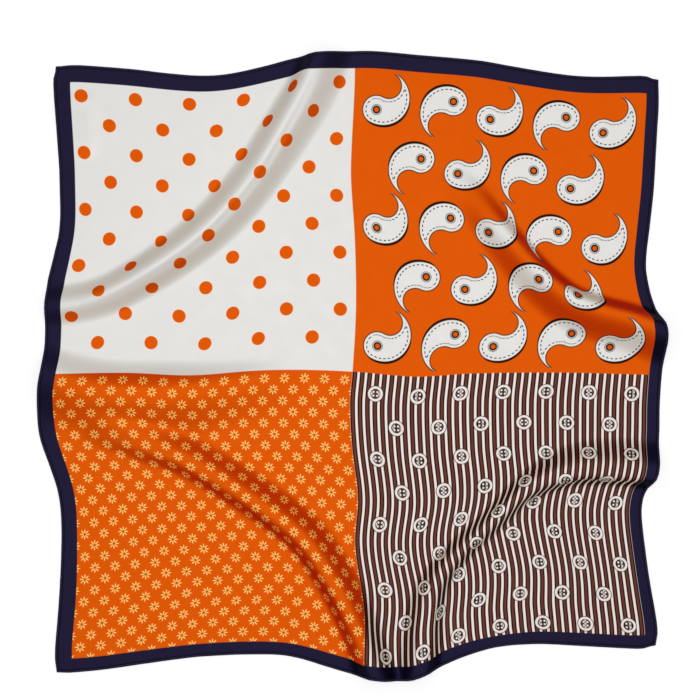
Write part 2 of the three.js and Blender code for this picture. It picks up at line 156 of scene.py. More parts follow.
def edge_point(side, share, inset):
    """Points along a side at these shares of its length, moved in from the outline."""
    share = np.atleast_1d(np.asarray(share, float))
    start = np.array(CORNERS[side.start], float)
    end = np.array(CORNERS[side.end], float)
    chord = np.linalg.norm(end - start)
    ahead = (end - start) / chord
    outward = np.array([-ahead[1], ahead[0]]) * side.outward
    # The two ends come in as well, so that neighbouring sides still meet at the corner.
    shifted = share + inset / chord * (1 - 2 * share)
    along = shifted * side.along[-1]
    bulge = smooth_through(side.along, side.out, along)
    slope = (smooth_through(side.along, side.out, along + 0.5)
             - smooth_through(side.along, side.out, along - 0.5))
    tilt = np.hypot(1, slope)
    forward = shifted * chord + inset * slope / tilt
    across = bulge - inset / tilt
    return start + np.outer(forward, ahead) + np.outer(across, outward)


OUTLINE = np.vstack([edge_point(side, np.linspace(0, 1, 400), 0) for side in SIDES.values()])
MIDDLE = (OUTLINE.min(0) + OUTLINE.max(0)) / 2
print("outline covers", np.round(np.ptp(OUTLINE, axis=0), 1), "mm, its middle is at", np.round(MIDDLE, 2))

# %% [markdown]
# ## The folds
#
# Each fold is a soft ridge along a crest. Its rows give points on the crest, how high the cloth
# stands there, and how far each flank reaches before the cloth lies flat again: the inner flank
# is on the left of the way along the crest, the outer one on the right. A cosine rounds the
# flank, and the crown is the share of it that stays level at the top.
#
# A cloth simulation could also fold a square, but it wouldn't leave each fold where the
# photograph has it. Placing the ridges one by one does. A shallow crease beside the upper left crest
# gives it the thin double line that thin silk shows where it turns sharply.

# %% The folds and their height
Crest = namedtuple("Crest", "x y height inner outer")
Fold = namedtuple("Fold", "crown rows")
FOLDS = {
    "upper left": Fold(0.06, [
        Crest(-27, 376, 18, 40, 20),
        Crest(-37, 350, 19, 40, 20),
        Crest(-53, 309, 20, 40, 23),
        Crest(-80, 259, 20, 36, 26),
        Crest(-109, 212, 19, 32, 27),
        Crest(-139, 175, 20, 31, 27),
        Crest(-176, 140, 20, 29, 26),
        Crest(-223, 107, 20, 27, 24),
        Crest(-270, 81, 17, 25, 23),
        Crest(-305, 70, 13, 24, 24),
        Crest(-342, 66, 10, 24, 25),
        Crest(-362, 66, 10, 24, 25),
    ]),
    "middle left": Fold(0.05, [
        Crest(-364, -4, 12, 34, 48),
        Crest(-342, -8, 13, 34, 53),
        Crest(-313, -18, 15, 35, 58),
        Crest(-269, -27, 16, 36, 62),
        Crest(-213, -28, 15, 36, 62),
        Crest(-157, -24, 10, 32, 56),
        Crest(-107, -17, 5, 28, 48),
        Crest(-57, -12, 0, 24, 40),
    ]),
    "lower left": Fold(0.14, [
        Crest(-300, -70, 0, 24, 22),
        Crest(-262, -78, 6, 26, 22),
        Crest(-224, -91, 10, 30, 22),
        Crest(-184, -107, 13, 32, 20),
        Crest(-120, -145, 17, 33, 20),
        Crest(-59, -189, 19, 32, 21),
        Crest(-25, -237, 20, 32, 20),
        Crest(-6, -272, 20, 30, 20),
        Crest(10, -306, 18, 28, 22),
        Crest(28, -350, 17, 28, 26),
        Crest(38, -374, 17, 28, 26),
    ]),
    "lower right": Fold(0.2, [
        Crest(71, -378, 13, 26, 24),
        Crest(74, -352, 14, 28, 24),
        Crest(79, -317, 14, 28, 23),
        Crest(84, -272, 13.5, 26, 20),
        Crest(92, -244, 13, 21, 18),
        Crest(106, -222, 12.5, 18, 16),
        Crest(125, -201, 12.5, 16, 15),
        Crest(144, -184, 12.5, 16, 15),
        Crest(163, -166, 12.5, 16, 15),
        Crest(187, -143, 13.5, 18, 16),
        Crest(216, -127, 15, 26, 17),
        Crest(255, -118, 16, 37, 17),
        Crest(300, -119, 16, 42, 17),
        Crest(333, -122, 16.5, 42, 17),
        Crest(362, -123, 17, 42, 17),
    ]),
    "upper right": Fold(0.08, [
        Crest(372, 34, 22, 46, 16),
        Crest(347, 42, 22, 46, 16),
        Crest(311, 55, 22, 44, 16),
        Crest(277, 64, 21, 42, 16),
        Crest(246, 76, 20, 40, 16),
        Crest(219, 96, 18, 38, 16),
        Crest(195, 120, 16, 36, 16),
        Crest(173, 145, 13, 34, 17),
        Crest(153, 169, 9, 32, 18),
        Crest(132, 192, 4, 30, 20),
        Crest(99, 216, 0, 28, 22),
    ]),
}
CREASE = Fold(0.0, [
    Crest(-34, 340, 0, 4, 4),
    Crest(-48, 306, -0.9, 5, 4),
    Crest(-75, 256, -1.5, 5, 4),
    Crest(-104, 208, -1.3, 5, 5),
    Crest(-135, 171, -1.6, 5, 5),
    Crest(-172, 135, -1.5, 5, 5),
    Crest(-220, 102, -1.2, 6, 5),
    Crest(-267, 76, -0.8, 6, 5),
    Crest(-305, 63, 0, 6, 5),
])
SAMPLES_PER_ROW = 8


def crest_samples(rows):
    """The crest's rows with smooth steps between them."""
    knots = np.arange(len(rows))
    at = np.linspace(0, len(rows) - 1, (len(rows) - 1) * SAMPLES_PER_ROW + 1)
    return np.stack([smooth_through(knots, column, at, False) for column in zip(*rows)], axis=1)


def fold_height(fold, x, y):
    """How far one fold lifts the cloth at these places."""
    samples = crest_samples(fold.rows)
    nearest = np.full(x.shape, np.inf)
    height = np.zeros(x.shape)
    reach = np.ones(x.shape)
    for a, b in zip(samples[:-1], samples[1:]):
        step = b[:2] - a[:2]
        t = np.clip(((x - a[0]) * step[0] + (y - a[1]) * step[1]) / (step @ step), 0, 1)
        off_x = x - (a[0] + step[0] * t)
        off_y = y - (a[1] + step[1] * t)
        distance = off_x ** 2 + off_y ** 2
        closer = distance < nearest
        leftward = step[0] * off_y - step[1] * off_x > 0
        here = a[2:] + (b[2:] - a[2:]) * t[..., None]
        nearest = np.where(closer, distance, nearest)
        height = np.where(closer, here[..., 0], height)
        reach = np.where(closer, np.where(leftward, here[..., 1], here[..., 2]), reach)
    share = np.clip((np.sqrt(nearest) / reach - fold.crown) / (1 - fold.crown), 0, 1)
    return height * 0.5 * (1 + np.cos(np.pi * share))


print("highest crest in mm:", {name: max(row.height for row in fold.rows) for name, fold in FOLDS.items()})

# %% [markdown]
# ## The height of the whole cloth
#
# The label lies under the cloth beside the left hem and lifts it by a little more than its own
# thickness. All the heights are worked out once on a fine square raster, because the next steps
# ask for them at thousands of points, over and over.

# %% Height raster
LABEL_LOW = np.array(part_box("care_label")[0][:2]) / MM + MIDDLE
LABEL_HIGH = np.array(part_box("care_label")[1][:2]) / MM + MIDDLE
LABEL_LIFT = 0.9
LABEL_MARGIN = 4.0
LABEL_RAMP = 14.0
RASTER_STEP = 1.5
RASTER_REACH = 369.0


def label_lift(x, y):
    """How far the label lifts the cloth over it and, less and less, beside it."""
    beyond_x = np.maximum(np.maximum(LABEL_LOW[0] - x, x - LABEL_HIGH[0]), 0)
    beyond_y = np.maximum(np.maximum(LABEL_LOW[1] - y, y - LABEL_HIGH[1]), 0)
    beyond = np.clip((np.hypot(beyond_x, beyond_y) - LABEL_MARGIN) / LABEL_RAMP, 0, 1)
    return LABEL_LIFT * 0.5 * (1 + np.cos(np.pi * beyond))


def cloth_height(x, y):
    """How far the folds and the label lift the cloth at these places."""
    folds = [*FOLDS.values(), CREASE]
    return label_lift(x, y) + sum(fold_height(fold, x, y) for fold in folds)


RASTER_LINE = np.arange(-RASTER_REACH, RASTER_REACH + RASTER_STEP, RASTER_STEP)
RASTER = cloth_height(*np.meshgrid(RASTER_LINE, RASTER_LINE))


def raster_height(plan):
    """Heights read from the raster, straight between its points."""
    place = (plan + RASTER_REACH) / RASTER_STEP
    cell = np.clip(place.astype(int), 0, len(RASTER_LINE) - 2)
    part = place - cell
    i, j = cell[..., 0], cell[..., 1]
    low = RASTER[j, i] * (1 - part[..., 0]) + RASTER[j, i + 1] * part[..., 0]
    high = RASTER[j + 1, i] * (1 - part[..., 0]) + RASTER[j + 1, i + 1] * part[..., 0]
    return low * (1 - part[..., 1]) + high * part[..., 1]


print("highest fold:", round(float(RASTER.max()), 1), "mm on a raster of", RASTER.shape)

# %% [markdown]
# ## Letting the threads settle
#
# Cloth hardly stretches along its threads, so where a fold lifts it, it draws in from the sides,
# and the print draws in with it. The flat square's crossing points start spread evenly over the
# outline. Then, many times over, each thread between two crossings is brought nearer its own
# length, measured up and down over the folds. A stretched thread pulls harder than a slack one
# pushes. The sides may slide along the outline but not leave it, and the two lines where the
# print's quarters meet are drawn gently to where they lie on the laid scarf. Coarse threads
# settle first, because a move crosses a coarse net in far fewer rounds, and little is left to do
# for the finer ones after them.

# %% Crossing points, spread evenly
# Cells along a side and rounds of settling, from coarse to fine.
CELLS = 216
LEVELS = ((54, 900), (108, 500), (CELLS, 150))


def thread_length(cells):
    """True length of thread between two crossings."""
    return (SQUARE - 2 * CLOTH_EDGE) / cells


def spread_evenly(cells):
    """Crossing points blended from the four sides of the outline."""
    share = np.linspace(0, 1, cells + 1)
    low, high, west, east = (edge_point(SIDES[name], share, CLOTH_EDGE)
                             for name in ("bottom", "top", "left", "right"))
    u = share[None, :, None]
    v = share[:, None, None]
    corners = ((1 - v) * ((1 - u) * low[0] + u * low[-1]) + v * ((1 - u) * high[0] + u * high[-1]))
    return (1 - v) * low[None] + v * high[None] + (1 - u) * west[:, None] + u * east[:, None] - corners


def finer(plan):
    """The same plan with a new crossing point halfway between each two."""
    for axis in (0, 1):
        plan = np.moveaxis(plan, axis, 0)
        double = np.repeat(plan, 2, axis=0)[:-1]
        double[1::2] = (plan[:-1] + plan[1:]) / 2
        plan = np.moveaxis(double, 0, axis)
    return plan


print(CELLS + 1, "threads each way,", round(thread_length(CELLS), 2), "mm apart")

# %% [markdown]
# The threads are links between neighbours. A net of upright and level links alone would fold
# flat like a lattice, so slanting links hold its cells square. They are weak, because silk
# twill skews easily. Each point's move is the mean of what its links ask for.

# %% The pull of the threads
# A thread comes to rest a little short, because it also waves over ripples too fine to show.
EASE = 0.98
# Strength of a stretched thread beside a slack one, and of a slanting link beside a thread.
STRETCHED = 4.0
SKEW = 0.05
# A round makes this share of the move asked for.
STEP = 0.8


def thread_links(cells):
    """Pairs of neighbours, their length apart and their strength."""
    rest = thread_length(cells) * EASE
    return [
        (np.s_[:, :-1], np.s_[:, 1:], rest, 1.0),
        (np.s_[:-1, :], np.s_[1:, :], rest, 1.0),
        (np.s_[:-1, :-1], np.s_[1:, 1:], rest * math.sqrt(2), SKEW),
        (np.s_[:-1, 1:], np.s_[1:, :-1], rest * math.sqrt(2), SKEW),
    ]


def thread_pull(plan, links):
    """The move that each crossing point is asked for by its threads."""
    point = np.dstack([plan, raster_height(plan)])
    push = np.zeros_like(plan)
    load = np.zeros(plan.shape[:2] + (1,))
    for near, far, rest, strength in links:
        gap = point[far] - point[near]
        length = np.sqrt((gap ** 2).sum(-1, keepdims=True))
        pull = np.where(length > rest, STRETCHED, 1.0) * strength
        move = gap[..., :2] / length * (length - rest) * pull
        push[near] += move
        push[far] -= move
        load[near] += pull
        load[far] += pull
    return push / load * STEP


print("thread at rest:", round(thread_length(CELLS) * EASE, 2), "mm between crossings")

# %% [markdown]
# Each round also carries on part of the last one's move, as a sliding cloth does, and the net
# comes to rest much sooner that way. After each round the sides are put back on the outline.

# %% Settling
# A round carries on this share of the last round's move.
CARRY = 0.92
# A round draws the print's two long lines home by this share of their way.
HOLD = 0.01
# The upright line's x at these heights up the picture, and the level line's y across it.
CROSS_LINE_X = {"y": (-329, -272, -199, -148, -90, -41, -7, 64, 139, 209, 238, 332),
                "x": (14.3, 14.3, 4.2, 7.6, 0.9, -1.3, 1.6, 5.4, 4.2, -0.2, 0.3, 4.2)}
CROSS_LINE_Y = {"x": (-350, -331, -251, -179, -110, -59, 1.6, 71, 132, 230, 326, 345),
                "y": (-9, -9.1, -8, -10.8, -5.8, -4.7, -6.9, -12.5, -9.1, -8, -10.3, -10.5)}
SIDE_LINES = {name: edge_point(side, np.linspace(0, 1, 2000), CLOTH_EDGE) for name, side in SIDES.items()}


def keep_on_outline(plan, corners):
    """Let the sides slide along the outline but not leave it, and keep the corners in place."""
    plan[0, :, 1] = np.interp(plan[0, :, 0], *SIDE_LINES["bottom"].T)
    plan[-1, :, 1] = np.interp(plan[-1, :, 0], *SIDE_LINES["top"].T)
    plan[:, 0, 0] = np.interp(plan[:, 0, 1], *SIDE_LINES["left"].T[::-1])
    plan[:, -1, 0] = np.interp(plan[:, -1, 1], *SIDE_LINES["right"].T[::-1])
    plan[::len(plan) - 1, ::len(plan) - 1] = corners


def tent(cells, index):
    """1 at one line of crossings, falling smoothly to 0 at the edges of the cloth."""
    line = np.arange(cells + 1)
    return np.sin(math.pi / 2 * np.minimum(line / index, (cells - line) / (cells - index)))


def draw_to_cross(plan):
    """Draw the print's two long lines home, and the cloth beside them less and less."""
    cells = len(plan) - 1
    column, row = (round((cross - CLOTH_EDGE) / thread_length(cells)) for cross in CROSS)
    off_x = smooth_through(CROSS_LINE_X["y"], CROSS_LINE_X["x"], plan[:, column, 1]) - plan[:, column, 0]
    off_y = smooth_through(CROSS_LINE_Y["x"], CROSS_LINE_Y["y"], plan[row, :, 0]) - plan[row, :, 1]
    plan[1:-1, :, 0] += HOLD * off_x[1:-1, None] * tent(cells, column)
    plan[:, 1:-1, 1] += HOLD * off_y[1:-1] * tent(cells, row)[:, None]


def settle():
    """Every crossing point's place in plan, once the threads have settled."""
    plan = spread_evenly(LEVELS[0][0] // 2)
    corners = plan[::len(plan) - 1, ::len(plan) - 1].copy()
    for cells, rounds in LEVELS:
        plan = finer(plan)
        links = thread_links(cells)
        before = plan
        for _ in range(rounds):
            before, plan = plan, plan + thread_pull(plan, links) + CARRY * (plan - before)
            keep_on_outline(plan, corners)
            draw_to_cross(plan)
    return plan


PLAN = settle()
THREAD_GAP = np.diff(np.dstack([PLAN, raster_height(PLAN)]), axis=1)
STRETCH = np.sqrt((THREAD_GAP ** 2).sum(-1)) / thread_length(CELLS)
print("thread lengths, share of true:", np.round(np.percentile(STRETCH, [1, 25, 50, 75, 99]), 3))

# %% [markdown]
# ## The cloth
#
# A grid primitive gives a square with one vertex for each crossing point, already unwrapped, so
# its UV map is the cloth's own weave: a pattern drawn on it bends with the threads. Each vertex
# moves to its settled place. Solidify then gives the sheet a thickness below its face, and its
# underside a second material slot, because the back of printed silk is paler than its face.

# %% The silk square
SILK_THICKNESS = 0.3
SILK_TOP = 0.45
RIPPLE = 0.2
# Each wave's turn in radians for a millimetre of x and of y, and where it starts.
RIPPLE_WAVES = ((0.031, 0.012, 0.4), (-0.017, 0.035, 1.9), (0.052, -0.043, 3.1), (0.024, 0.061, 5.0))


def ripple(x, y):
    """Slight unevenness of cloth that has been handled."""
    waves = [np.sin(along_x * x + along_y * y + start) for along_x, along_y, start in RIPPLE_WAVES]
    return sum(waves) * RIPPLE / len(waves)


def select_only(piece):
    bpy.ops.object.select_all(action="DESELECT")
    piece.select_set(True)
    bpy.context.view_layer.objects.active = piece


def apply_modifiers(piece):
    select_only(piece)
    for modifier in list(piece.modifiers):
        bpy.ops.object.modifier_apply(modifier=modifier.name)


def surface_point(plan):
    """Metres, in the frame, of the silk's face above these places in plan."""
    x, y = plan[..., 0], plan[..., 1]
    height = cloth_height(x, y) + SILK_TOP + ripple(x, y)
    return np.stack([x - MIDDLE[0], y - MIDDLE[1], height], axis=-1) * MM


def place_crossings(mesh):
    """Move each vertex of the flat unit square to its settled place on the folds."""
    flat = np.empty(len(mesh.vertices) * 3)
    mesh.vertices.foreach_get("co", flat)
    column, row = np.rint((flat.reshape(-1, 3)[:, :2] + 0.5) * CELLS).astype(int).T
    mesh.vertices.foreach_set("co", surface_point(PLAN)[row, column].ravel())


def spread_weave(mesh):
    """Let the UV map run from 0 to 1 over the whole cut, of which the sheet is all but the edges."""
    weave = mesh.uv_layers.active
    weave.name = "weave"
    spread = np.empty(len(mesh.loops) * 2)
    weave.data.foreach_get("uv", spread)
    weave.data.foreach_set("uv", (CLOTH_EDGE + spread * (SQUARE - 2 * CLOTH_EDGE)) / SQUARE)


def make_cloth():
    bpy.ops.object.select_all(action="DESELECT")
    bpy.ops.mesh.primitive_grid_add(x_subdivisions=CELLS, y_subdivisions=CELLS, size=1, location=(0, 0, 0))
    cloth = bpy.context.active_object
    cloth.name = "silk_square"
    place_crossings(cloth.data)
    spread_weave(cloth.data)
    thickness = cloth.modifiers.new("thickness", "SOLIDIFY")
    thickness.thickness = SILK_THICKNESS * MM
    thickness.offset = -1
    thickness.material_offset = 1
    apply_modifiers(cloth)
    bpy.ops.object.shade_smooth()
    return cloth


cloth = make_cloth()
print("silk square:", len(cloth.data.polygons), "faces")

# %% [markdown]
# ## Drawing with sums
#
# The print is a chart of plain motifs, each a formula on the cloth's own coordinates: how far a
# point lies from a dot's edge, a petal's or a stripe's. Small helpers write the formula's sums
# as Math nodes, lay a motif out in rows that are offset by half, and turn a distance into a
# crisp shape. That way every motif can be changed by its size in millimetres.

# %% Helpers for the print
INK_EDGE = 0.35
FINE_EDGE = 0.25
# The Mix node has sockets for numbers, vectors and colours. These are the ones for colours.
MIX_SHARE, MIX_UNDER, MIX_OVER, MIX_RESULT = 0, 6, 7, 2


def colour(red, green, blue):
    """A colour picked on a screen, as the light it stands for."""
    light = [c / 255 / 12.92 if c <= 10 else ((c / 255 + 0.055) / 1.055) ** 2.4 for c in (red, green, blue)]
    return (*light, 1.0)


class Chart:
    """Writes sums, mixes and textures as nodes of one material."""

    def __init__(self, tree):
        self.tree = tree

    def put(self, socket, value):
        if isinstance(value, bpy.types.NodeSocket):
            self.tree.links.new(value, socket)
        else:
            socket.default_value = value

    def sum(self, operation, *values, clamp=False):
        node = self.tree.nodes.new("ShaderNodeMath")
        node.operation = operation
        node.use_clamp = clamp
        for socket, value in zip(node.inputs, values):
            self.put(socket, value)
        return node.outputs[0]

    def plus(self, a, b):
        return self.sum("ADD", a, b)

    def minus(self, a, b):
        return self.sum("SUBTRACT", a, b)

    def times(self, a, b):
        return self.sum("MULTIPLY", a, b)

    def length(self, x, y):
        return self.sum("SQRT", self.plus(self.times(x, x), self.times(y, y)))

    def ring(self, x, y, centre_x, centre_y, radius):
        """Distance outside a circle."""
        return self.minus(self.length(self.minus(x, centre_x), self.minus(y, centre_y)), radius)

    def inside(self, distance, edge=INK_EDGE):
        """1 where the distance is below zero, with a narrow soft edge."""
        return self.sum("MULTIPLY_ADD", distance, -0.5 / edge, 0.5, clamp=True)

    def both(self, a, b):
        """1 where two shapes overlap."""
        return self.times(a, b)

    def mix(self, under, over, share, blend="MIX"):
        node = self.tree.nodes.new("ShaderNodeMix")
        node.data_type = "RGBA"
        node.blend_type = blend
        self.put(node.inputs[MIX_SHARE], share)
        self.put(node.inputs[MIX_UNDER], under)
        self.put(node.inputs[MIX_OVER], over)
        return node.outputs[MIX_RESULT]

    def cloud(self, place, scale, detail):
        """Soft noise between 0 and 1, for what is uneven in silk."""
        noise = self.tree.nodes.new("ShaderNodeTexNoise")
        noise.inputs["Scale"].default_value = scale
        noise.inputs["Detail"].default_value = detail
        self.put(noise.inputs["Vector"], place)
        return noise.outputs[0]

    def bump(self, height, depth, strength):
        """Relief too fine for mesh, with its depth in millimetres."""
        relief = self.tree.nodes.new("ShaderNodeBump")
        relief.inputs["Distance"].default_value = depth * MM
        relief.inputs["Strength"].default_value = strength
        self.put(relief.inputs["Height"], height)
        return relief.outputs[0]

    def half_drop(self, x, y, across, down):
        """Place within a repeat: rows, every other one moved by half a repeat."""
        row = self.sum("FLOOR", self.plus(self.sum("DIVIDE", y, down), 0.5))
        odd = self.sum("FLOORED_MODULO", row, 2.0)
        column_place = self.minus(self.sum("DIVIDE", x, across), self.times(odd, 0.5))
        column = self.sum("FLOOR", self.plus(column_place, 0.5))
        local_x = self.times(self.minus(column_place, column), across)
        local_y = self.minus(y, self.times(row, down))
        return local_x, local_y, column, row


print("chart words:", ", ".join(word for word in vars(Chart) if not word.startswith("_")))

# %% [markdown]
# ## The quarter with dots
#
# The upper left quarter is white with round orange dots, and every other row is moved by half a
# repeat. One formula does for all of them: how far a place lies outside the nearest dot. A thin
# pale ring is drawn first, a little wider, where the ink has crept into the white.

# %% Upper left quarter: dots
WHITE = colour(212, 211, 208)
ORANGE = colour(207, 83, 2)
NAVY = colour(30, 26, 51)
PALE_EDGE = colour(228, 204, 172)
DOT = {"across": 60.8, "down": 32.0, "first_x": 30.4, "first_down": 34.4, "radius": 7.5, "halo": 0.5,
       "last_row": 9}


def dot_quarter(chart, x, y):
    from_left = chart.minus(x, DOT["first_x"])
    from_top = chart.minus(SQUARE - DOT["first_down"], y)
    local_x, local_y, _, row = chart.half_drop(from_left, from_top, DOT["across"], DOT["down"])
    printed = chart.sum("LESS_THAN", row, DOT["last_row"] + 0.5)
    outside = chart.ring(local_x, local_y, 0.0, 0.0, DOT["radius"])
    halo = chart.inside(chart.minus(outside, DOT["halo"]))
    drawn = chart.mix(WHITE, PALE_EDGE, chart.both(halo, printed))
    return chart.mix(drawn, ORANGE, chart.both(chart.inside(outside), printed))


print("dots:", 2 * DOT["radius"], "mm wide, in", DOT["last_row"] + 1, "rows")

# %% [markdown]
# ## The quarter with daisies
#
# The lower left quarter is orange with small flowers of eight petals. Drawing eight ovals would
# take eight formulas. Folding the angle round the flower's middle into eight equal parts makes
# one oval do for all of them. A darker disc lies under the petals and a brown heart over them.

# %% Lower left quarter: daisies
DAISY = {"across": 22.6, "down": 12.64, "last_x": 343.9, "first_y": 330.9, "petals": 8, "turn": 0.44,
         "petal_middle": 3.6, "petal_length": 2.1, "petal_width": 0.66, "heart": 0.9, "disc": 2.5,
         "disc_strength": 0.55}
PETAL = colour(253, 198, 112)
HEART = colour(116, 72, 12)
OLIVE = colour(158, 92, 12)


def daisy_quarter(chart, x, y):
    local_x, local_y, _, row = chart.half_drop(
        chart.minus(x, DAISY["last_x"]), chart.minus(DAISY["first_y"], y), DAISY["across"], DAISY["down"])
    reach = chart.length(local_x, local_y)
    turn = chart.sum("ARCTAN2", local_y, local_x)
    sector = 2 * math.pi / DAISY["petals"]
    petal_count = chart.plus(chart.times(turn, 1 / sector), DAISY["turn"] + DAISY["petals"])
    angle = chart.times(chart.minus(chart.sum("FRACT", petal_count), 0.5), sector)
    along = chart.times(reach, chart.sum("COSINE", angle))
    across = chart.times(reach, chart.sum("SINE", angle))
    oval = chart.length(chart.times(chart.minus(along, DAISY["petal_middle"]), 1 / DAISY["petal_length"]),
                        chart.times(across, 1 / DAISY["petal_width"]))
    petal = chart.inside(chart.times(chart.minus(oval, 1.0), DAISY["petal_width"]), FINE_EDGE)
    disc = chart.inside(chart.minus(reach, DAISY["disc"]))
    heart = chart.inside(chart.minus(reach, DAISY["heart"]))
    printed = chart.sum("GREATER_THAN", row, -0.5)
    drawn = chart.mix(ORANGE, OLIVE, chart.both(chart.times(disc, DAISY["disc_strength"]), printed))
    drawn = chart.mix(drawn, PETAL, chart.both(petal, printed))
    return chart.mix(drawn, HEART, chart.both(heart, printed))


print("daisies:", 2 * (DAISY["petal_middle"] + DAISY["petal_length"]), "mm wide,", DAISY["petals"], "petals")

# %% [markdown]
# ## The quarter with stripes
#
# The lower right quarter has upright stripes in white and brown, with a dark line along each
# edge of the white. Distance from the nearest white stripe's middle gives all three. Rows of
# plain four-hole buttons lie over the stripes. A button's hole is drawn once: taking the place
# without its sign repeats it in all four corners. A button that the border or the next quarter
# would cut is left out.

# %% Lower right quarter: stripes and buttons
STRIPE = {"pitch": 8.4, "first_white": 359.1, "white": 1.38, "line": 1.5}
STRIPE_WHITE = colour(220, 212, 207)
BROWN = colour(98, 52, 42)
DARK_LINE = colour(24, 8, 5)
BUTTON = {"across": 48.0, "down": 36.4, "first_x": 380.0, "first_y": 318.0, "radius": 8.4,
          "outline": 0.8, "rim": 1.35, "hole_out": 2.1, "hole": 1.2, "least_x": 366.0, "most_x": 676.0}


def button(chart, under, x, y, printed):
    """A plain four-hole button in outline: a white rim with dark edges, and four white holes."""
    middle = BUTTON["radius"] - BUTTON["rim"]
    rim = chart.minus(chart.sum("ABSOLUTE", chart.minus(chart.length(x, y), middle)), BUTTON["rim"])
    hole = chart.ring(chart.sum("ABSOLUTE", x), chart.sum("ABSOLUTE", y),
                      BUTTON["hole_out"], BUTTON["hole_out"], BUTTON["hole"])
    white = chart.sum("MINIMUM", rim, hole)
    dark = chart.inside(chart.minus(white, BUTTON["outline"]))
    drawn = chart.mix(under, DARK_LINE, chart.both(dark, printed))
    return chart.mix(drawn, STRIPE_WHITE, chart.both(chart.inside(white), printed))


def stripe_quarter(chart, x, y):
    place = chart.sum("DIVIDE", chart.minus(x, STRIPE["first_white"]), STRIPE["pitch"])
    nearest = chart.sum("FLOOR", chart.plus(place, 0.5))
    off = chart.times(chart.sum("ABSOLUTE", chart.minus(place, nearest)), STRIPE["pitch"])
    white = chart.inside(chart.minus(off, STRIPE["white"]), FINE_EDGE)
    dark = chart.inside(chart.minus(off, STRIPE["white"] + STRIPE["line"]), FINE_EDGE)
    striped = chart.mix(chart.mix(BROWN, DARK_LINE, dark), STRIPE_WHITE, white)
    from_first_x = chart.minus(x, BUTTON["first_x"])
    from_first_y = chart.minus(BUTTON["first_y"], y)
    local_x, local_y, _, _ = chart.half_drop(from_first_x, from_first_y, BUTTON["across"], BUTTON["down"])
    middle = chart.minus(x, local_x)
    printed = chart.both(chart.sum("GREATER_THAN", middle, BUTTON["least_x"]),
                         chart.sum("LESS_THAN", middle, BUTTON["most_x"]))
    return button(chart, striped, local_x, local_y, printed)


print("stripes:", STRIPE["pitch"], "mm apart; buttons:", 2 * BUTTON["radius"], "mm wide")

# %% [markdown]
# ## The quarter with paisleys
#
# The upper right quarter holds large white motifs with dark outlines on orange. A paisley is
# drawn as a comma: half of a big circle, with a small circle added for its head and another
# taken away for its hollow. The same distances give its outline, a row of dashes inside it, and
# the round eye in its head. Every other one is turned end for end.

# %% Upper right quarter: paisleys
PAISLEY = {"across": 65.0, "down": 66.0, "first_x": 389.0, "first_down": 57.0, "head": 15.2,
           "lean": math.radians(24), "outline": 1.1, "shadow": 2.1, "dashes": 34, "dash_in": 3.0,
           "dash_width": 0.55, "dash_from": -0.2, "balance": (0.45, -0.25)}
# Only paisleys whose middle lies in this square are printed, so that none is cut.
PAISLEY_ROOM = {"middle": (519.0, 511.0), "reach": 140.0}
PAISLEY_INK = colour(34, 15, 10)
EYE_RINGS = ((6.0, PAISLEY_INK), (5.3, WHITE), (4.6, PAISLEY_INK), (2.7, ORANGE))


def comma(chart, x, y):
    """Distance outside a comma shape, below zero within it."""
    head = PAISLEY["head"]
    big = chart.ring(x, y, 0.0, 0.0, 2 * head)
    half = chart.sum("MAXIMUM", big, chart.times(x, -1.0))
    body = chart.sum("MINIMUM", half, chart.ring(x, y, 0.0, -head, head))
    return chart.sum("MAXIMUM", body, chart.times(chart.ring(x, y, 0.0, head, head), -1.0))


def paisley_place(chart, x, y):
    """Place within one paisley, turned over in every other one and leaning to one side."""
    local_x, down, column, row = chart.half_drop(
        chart.minus(x, PAISLEY["first_x"]), chart.minus(SQUARE - PAISLEY["first_down"], y),
        PAISLEY["across"], PAISLEY["down"])
    local_y = chart.times(down, -1.0)
    odd = chart.sum("FLOORED_MODULO", chart.plus(column, row), 2.0)
    way = chart.minus(1.0, chart.times(odd, 2.0))
    turned_x = chart.times(local_x, way)
    turned_y = chart.times(local_y, way)
    lean_x, lean_y = math.cos(PAISLEY["lean"]), math.sin(PAISLEY["lean"])
    place_x = chart.minus(chart.times(turned_x, lean_x), chart.times(turned_y, lean_y))
    place_x = chart.plus(place_x, PAISLEY["balance"][0] * PAISLEY["head"])
    place_y = chart.plus(chart.times(turned_x, lean_y), chart.times(turned_y, lean_x))
    place_y = chart.plus(place_y, PAISLEY["balance"][1] * PAISLEY["head"])
    whole = 1.0
    for at, local, middle in zip((x, y), (local_x, local_y), PAISLEY_ROOM["middle"]):
        off = chart.sum("ABSOLUTE", chart.minus(chart.minus(at, local), middle))
        whole = chart.both(whole, chart.sum("LESS_THAN", off, PAISLEY_ROOM["reach"]))
    return place_x, place_y, whole


